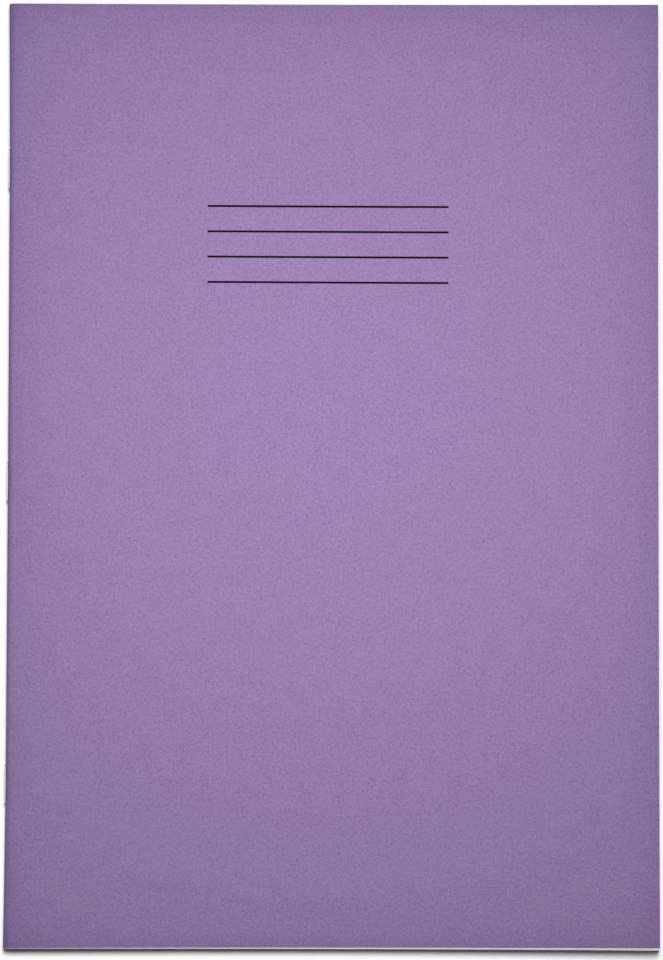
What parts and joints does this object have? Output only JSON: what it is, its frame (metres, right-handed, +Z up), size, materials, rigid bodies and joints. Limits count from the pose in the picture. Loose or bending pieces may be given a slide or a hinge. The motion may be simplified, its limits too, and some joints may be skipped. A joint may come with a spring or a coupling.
{
  "type": "stapled exercise book",
  "caption": "Tall school exercise book: folded purple card cover with plain title lines, ruled paper sheets nested inside and wire staples through the fold. It opens at the centre.",
  "frame": {"origin": "on the surface that the closed book lies on, under the middle of its box", "axes": "+X from the fold to the fore edge, +Y from the tail to the head, +Z up out of the front cover"},
  "size_m": [0.2036, 0.297, 0.0072],
  "materials": {
    "cover_card": "matte",
    "page_paper": "matte",
    "staple_wire": "satin"
  },
  "bodies": {
    "back_cover": {"back_cover": "cover_card"},
    "front_cover": {"front_cover": "cover_card"},
    "binding": {"head_staple": "staple_wire", "middle_staple": "staple_wire", "tail_staple": "staple_wire", "cover_spine": "cover_card", "sheet_01_fold": "page_paper", "sheet_02_fold": "page_paper", "sheet_03_fold": "page_paper", "sheet_04_fold": "page_paper", "sheet_05_fold": "page_paper", "sheet_06_fold": "page_paper", "sheet_07_fold": "page_paper", "sheet_08_fold": "page_paper", "sheet_09_fold": "page_paper", "sheet_10_fold": "page_paper", "sheet_11_fold": "page_paper", "sheet_12_fold": "page_paper", "sheet_13_fold": "page_paper", "sheet_14_fold": "page_paper", "sheet_15_fold": "page_paper", "sheet_16_fold": "page_paper"},
    "sheet_01_back": {"sheet_01_back_leaf": "page_paper"},
    "sheet_01_front": {"sheet_01_front_leaf": "page_paper"},
    "sheet_02_back": {"sheet_02_back_leaf": "page_paper"},
    "sheet_02_front": {"sheet_02_front_leaf": "page_paper"},
    "sheet_03_back": {"sheet_03_back_leaf": "page_paper"},
    "sheet_03_front": {"sheet_03_front_leaf": "page_paper"},
    "sheet_04_back": {"sheet_04_back_leaf": "page_paper"},
    "sheet_04_front": {"sheet_04_front_leaf": "page_paper"},
    "sheet_05_back": {"sheet_05_back_leaf": "page_paper"},
    "sheet_05_front": {"sheet_05_front_leaf": "page_paper"},
    "sheet_06_back": {"sheet_06_back_leaf": "page_paper"},
    "sheet_06_front": {"sheet_06_front_leaf": "page_paper"},
    "sheet_07_back": {"sheet_07_back_leaf": "page_paper"},
    "sheet_07_front": {"sheet_07_front_leaf": "page_paper"},
    "sheet_08_back": {"sheet_08_back_leaf": "page_paper"},
    "sheet_08_front": {"sheet_08_front_leaf": "page_paper"},
    "sheet_09_back": {"sheet_09_back_leaf": "page_paper"},
    "sheet_09_front": {"sheet_09_front_leaf": "page_paper"},
    "sheet_10_back": {"sheet_10_back_leaf": "page_paper"},
    "sheet_10_front": {"sheet_10_front_leaf": "page_paper"},
    "sheet_11_back": {"sheet_11_back_leaf": "page_paper"},
    "sheet_11_front": {"sheet_11_front_leaf": "page_paper"},
    "sheet_12_back": {"sheet_12_back_leaf": "page_paper"},
    "sheet_12_front": {"sheet_12_front_leaf": "page_paper"},
    "sheet_13_back": {"sheet_13_back_leaf": "page_paper"},
    "sheet_13_front": {"sheet_13_front_leaf": "page_paper"},
    "sheet_14_back": {"sheet_14_back_leaf": "page_paper"},
    "sheet_14_front": {"sheet_14_front_leaf": "page_paper"},
    "sheet_15_back": {"sheet_15_back_leaf": "page_paper"},
    "sheet_15_front": {"sheet_15_front_leaf": "page_paper"},
    "sheet_16_back": {"sheet_16_back_leaf": "page_paper"},
    "sheet_16_front": {"sheet_16_front_leaf": "page_paper"}
  },
  "joints": [
    {"name": "front_cover_turn", "type": "hinge", "parent": "back_cover", "child": "front_cover", "pos_m": [-0.09898, 0, 0.00222], "axis": [0, -1, 0], "range_deg": [0, 179], "deforming": ["cover_spine"]},
    {"name": "binding_turn", "type": "hinge", "parent": "back_cover", "child": "binding", "pos_m": [-0.09898, 0, 0.00222], "axis": [0, -1, 0], "range_deg": [0, 89.51]},
    {"name": "sheet_01_back_turn", "type": "hinge", "parent": "back_cover", "child": "sheet_01_back", "pos_m": [-0.09898, 0, 0.00222], "axis": [0, -1, 0], "range_deg": [0, 1.08]},
    {"name": "sheet_01_fold_turn", "type": "hinge", "parent": "sheet_01_back", "child": "sheet_01_front", "pos_m": [-0.09898, 0, 0.00222], "axis": [0, -1, 0], "range_deg": [0, 176.86], "deforming": ["sheet_01_fold"]},
    {"name": "sheet_02_back_turn", "type": "hinge", "parent": "back_cover", "child": "sheet_02_back", "pos_m": [-0.09898, 0, 0.00222], "axis": [0, -1, 0], "range_deg": [0, 2.03]},
    {"name": "sheet_02_fold_turn", "type": "hinge", "parent": "sheet_02_back", "child": "sheet_02_front", "pos_m": [-0.09898, 0, 0.00222], "axis": [0, -1, 0], "range_deg": [0, 174.97], "deforming": ["sheet_02_fold"]},
    {"name": "sheet_03_back_turn", "type": "hinge", "parent": "back_cover", "child": "sheet_03_back", "pos_m": [-0.09898, 0, 0.00222], "axis": [0, -1, 0], "range_deg": [0, 2.97]},
    {"name": "sheet_03_fold_turn", "type": "hinge", "parent": "sheet_03_back", "child": "sheet_03_front", "pos_m": [-0.09898, 0, 0.00222], "axis": [0, -1, 0], "range_deg": [0, 173.09], "deforming": ["sheet_03_fold"]},
    {"name": "sheet_04_back_turn", "type": "hinge", "parent": "back_cover", "child": "sheet_04_back", "pos_m": [-0.09898, 0, 0.00222], "axis": [0, -1, 0], "range_deg": [0, 3.91]},
    {"name": "sheet_04_fold_turn", "type": "hinge", "parent": "sheet_04_back", "child": "sheet_04_front", "pos_m": [-0.09898, 0, 0.00222], "axis": [0, -1, 0], "range_deg": [0, 171.21], "deforming": ["sheet_04_fold"]},
    {"name": "sheet_05_back_turn", "type": "hinge", "parent": "back_cover", "child": "sheet_05_back", "pos_m": [-0.09898, 0, 0.00222], "axis": [0, -1, 0], "range_deg": [0, 4.86]},
    {"name": "sheet_05_fold_turn", "type": "hinge", "parent": "sheet_05_back", "child": "sheet_05_front", "pos_m": [-0.09898, 0, 0.00222], "axis": [0, -1, 0], "range_deg": [0, 169.32], "deforming": ["sheet_05_fold"]},
    {"name": "sheet_06_back_turn", "type": "hinge", "parent": "back_cover", "child": "sheet_06_back", "pos_m": [-0.09898, 0, 0.00222], "axis": [0, -1, 0], "range_deg": [0, 5.8]},
    {"name": "sheet_06_fold_turn", "type": "hinge", "parent": "sheet_06_back", "child": "sheet_06_front", "pos_m": [-0.09898, 0, 0.00222], "axis": [0, -1, 0], "range_deg": [0, 167.44], "deforming": ["sheet_06_fold"]},
    {"name": "sheet_07_back_turn", "type": "hinge", "parent": "back_cover", "child": "sheet_07_back", "pos_m": [-0.09898, 0, 0.00222], "axis": [0, -1, 0], "range_deg": [0, 6.74]},
    {"name": "sheet_07_fold_turn", "type": "hinge", "parent": "sheet_07_back", "child": "sheet_07_front", "pos_m": [-0.09898, 0, 0.00222], "axis": [0, -1, 0], "range_deg": [0, 165.55], "deforming": ["sheet_07_fold"]},
    {"name": "sheet_08_back_turn", "type": "hinge", "parent": "back_cover", "child": "sheet_08_back", "pos_m": [-0.09898, 0, 0.00222], "axis": [0, -1, 0], "range_deg": [0, 7.68]},
    {"name": "sheet_08_fold_turn", "type": "hinge", "parent": "sheet_08_back", "child": "sheet_08_front", "pos_m": [-0.09898, 0, 0.00222], "axis": [0, -1, 0], "range_deg": [0, 163.66], "deforming": ["sheet_08_fold"]},
    {"name": "sheet_09_back_turn", "type": "hinge", "parent": "back_cover", "child": "sheet_09_back", "pos_m": [-0.09898, 0, 0.00222], "axis": [0, -1, 0], "range_deg": [0, 8.62]},
    {"name": "sheet_09_fold_turn", "type": "hinge", "parent": "sheet_09_back", "child": "sheet_09_front", "pos_m": [-0.09898, 0, 0.00222], "axis": [0, -1, 0], "range_deg": [0, 161.78], "deforming": ["sheet_09_fold"]},
    {"name": "sheet_10_back_turn", "type": "hinge", "parent": "back_cover", "child": "sheet_10_back", "pos_m": [-0.09898, 0, 0.00222], "axis": [0, -1, 0], "range_deg": [0, 9.57]},
    {"name": "sheet_10_fold_turn", "type": "hinge", "parent": "sheet_10_back", "child": "sheet_10_front", "pos_m": [-0.09898, 0, 0.00222], "axis": [0, -1, 0], "range_deg": [0, 159.89], "deforming": ["sheet_10_fold"]},
    {"name": "sheet_11_back_turn", "type": "hinge", "parent": "back_cover", "child": "sheet_11_back", "pos_m": [-0.09898, 0, 0.00222], "axis": [0, -1, 0], "range_deg": [0, 10.51]},
    {"name": "sheet_11_fold_turn", "type": "hinge", "parent": "sheet_11_back", "child": "sheet_11_front", "pos_m": [-0.09898, 0, 0.00222], "axis": [0, -1, 0], "range_deg": [0, 158.01], "deforming": ["sheet_11_fold"]},
    {"name": "sheet_12_back_turn", "type": "hinge", "parent": "back_cover", "child": "sheet_12_back", "pos_m": [-0.09898, 0, 0.00222], "axis": [0, -1, 0], "range_deg": [0, 11.45]},
    {"name": "sheet_12_fold_turn", "type": "hinge", "parent": "sheet_12_back", "child": "sheet_12_front", "pos_m": [-0.09898, 0, 0.00222], "axis": [0, -1, 0], "range_deg": [0, 156.12], "deforming": ["sheet_12_fold"]},
    {"name": "sheet_13_back_turn", "type": "hinge", "parent": "back_cover", "child": "sheet_13_back", "pos_m": [-0.09898, 0, 0.00222], "axis": [0, -1, 0], "range_deg": [0, 12.4]},
    {"name": "sheet_13_fold_turn", "type": "hinge", "parent": "sheet_13_back", "child": "sheet_13_front", "pos_m": [-0.09898, 0, 0.00222], "axis": [0, -1, 0], "range_deg": [0, 154.24], "deforming": ["sheet_13_fold"]},
    {"name": "sheet_14_back_turn", "type": "hinge", "parent": "back_cover", "child": "sheet_14_back", "pos_m": [-0.09898, 0, 0.00222], "axis": [0, -1, 0], "range_deg": [0, 13.34]},
    {"name": "sheet_14_fold_turn", "type": "hinge", "parent": "sheet_14_back", "child": "sheet_14_front", "pos_m": [-0.09898, 0, 0.00222], "axis": [0, -1, 0], "range_deg": [0, 152.35], "deforming": ["sheet_14_fold"]},
    {"name": "sheet_15_back_turn", "type": "hinge", "parent": "back_cover", "child": "sheet_15_back", "pos_m": [-0.09898, 0, 0.00222], "axis": [0, -1, 0], "range_deg": [0, 14.28]},
    {"name": "sheet_15_fold_turn", "type": "hinge", "parent": "sheet_15_back", "child": "sheet_15_front", "pos_m": [-0.09898, 0, 0.00222], "axis": [0, -1, 0], "range_deg": [0, 150.47], "deforming": ["sheet_15_fold"]},
    {"name": "sheet_16_back_turn", "type": "hinge", "parent": "back_cover", "child": "sheet_16_back", "pos_m": [-0.09898, 0, 0.00222], "axis": [0, -1, 0], "range_deg": [0, 15.22]},
    {"name": "sheet_16_fold_turn", "type": "hinge", "parent": "sheet_16_back", "child": "sheet_16_front", "pos_m": [-0.09898, 0, 0.00222], "axis": [0, -1, 0], "range_deg": [0, 148.58], "deforming": ["sheet_16_fold"]}
  ],
  "couplings": [
    {"joint": "binding_turn", "follows": "front_cover_turn", "ratio": 0.5},
    {"joint": "sheet_01_back_turn", "follows": "front_cover_turn", "ratio": 0.006},
    {"joint": "sheet_01_fold_turn", "follows": "front_cover_turn", "ratio": 0.988},
    {"joint": "sheet_02_back_turn", "follows": "front_cover_turn", "ratio": 0.01127},
    {"joint": "sheet_02_fold_turn", "follows": "front_cover_turn", "ratio": 0.97746},
    {"joint": "sheet_03_back_turn", "follows": "front_cover_turn", "ratio": 0.01653},
    {"joint": "sheet_03_fold_turn", "follows": "front_cover_turn", "ratio": 0.96694},
    {"joint": "sheet_04_back_turn", "follows": "front_cover_turn", "ratio": 0.0218},
    {"joint": "sheet_04_fold_turn", "follows": "front_cover_turn", "ratio": 0.9564},
    {"joint": "sheet_05_back_turn", "follows": "front_cover_turn", "ratio": 0.02707},
    {"joint": "sheet_05_fold_turn", "follows": "front_cover_turn", "ratio": 0.94586},
    {"joint": "sheet_06_back_turn", "follows": "front_cover_turn", "ratio": 0.03233},
    {"joint": "sheet_06_fold_turn", "follows": "front_cover_turn", "ratio": 0.93534},
    {"joint": "sheet_07_back_turn", "follows": "front_cover_turn", "ratio": 0.0376},
    {"joint": "sheet_07_fold_turn", "follows": "front_cover_turn", "ratio": 0.9248},
    {"joint": "sheet_08_back_turn", "follows": "front_cover_turn", "ratio": 0.04287},
    {"joint": "sheet_08_fold_turn", "follows": "front_cover_turn", "ratio": 0.91426},
    {"joint": "sheet_09_back_turn", "follows": "front_cover_turn", "ratio": 0.04813},
    {"joint": "sheet_09_fold_turn", "follows": "front_cover_turn", "ratio": 0.90374},
    {"joint": "sheet_10_back_turn", "follows": "front_cover_turn", "ratio": 0.0534},
    {"joint": "sheet_10_fold_turn", "follows": "front_cover_turn", "ratio": 0.8932},
    {"joint": "sheet_11_back_turn", "follows": "front_cover_turn", "ratio": 0.05867},
    {"joint": "sheet_11_fold_turn", "follows": "front_cover_turn", "ratio": 0.88266},
    {"joint": "sheet_12_back_turn", "follows": "front_cover_turn", "ratio": 0.06393},
    {"joint": "sheet_12_fold_turn", "follows": "front_cover_turn", "ratio": 0.87214},
    {"joint": "sheet_13_back_turn", "follows": "front_cover_turn", "ratio": 0.0692},
    {"joint": "sheet_13_fold_turn", "follows": "front_cover_turn", "ratio": 0.8616},
    {"joint": "sheet_14_back_turn", "follows": "front_cover_turn", "ratio": 0.07447},
    {"joint": "sheet_14_fold_turn", "follows": "front_cover_turn", "ratio": 0.85106},
    {"joint": "sheet_15_back_turn", "follows": "front_cover_turn", "ratio": 0.07973},
    {"joint": "sheet_15_fold_turn", "follows": "front_cover_turn", "ratio": 0.84054},
    {"joint": "sheet_16_back_turn", "follows": "front_cover_turn", "ratio": 0.085},
    {"joint": "sheet_16_fold_turn", "follows": "front_cover_turn", "ratio": 0.83}
  ]
}
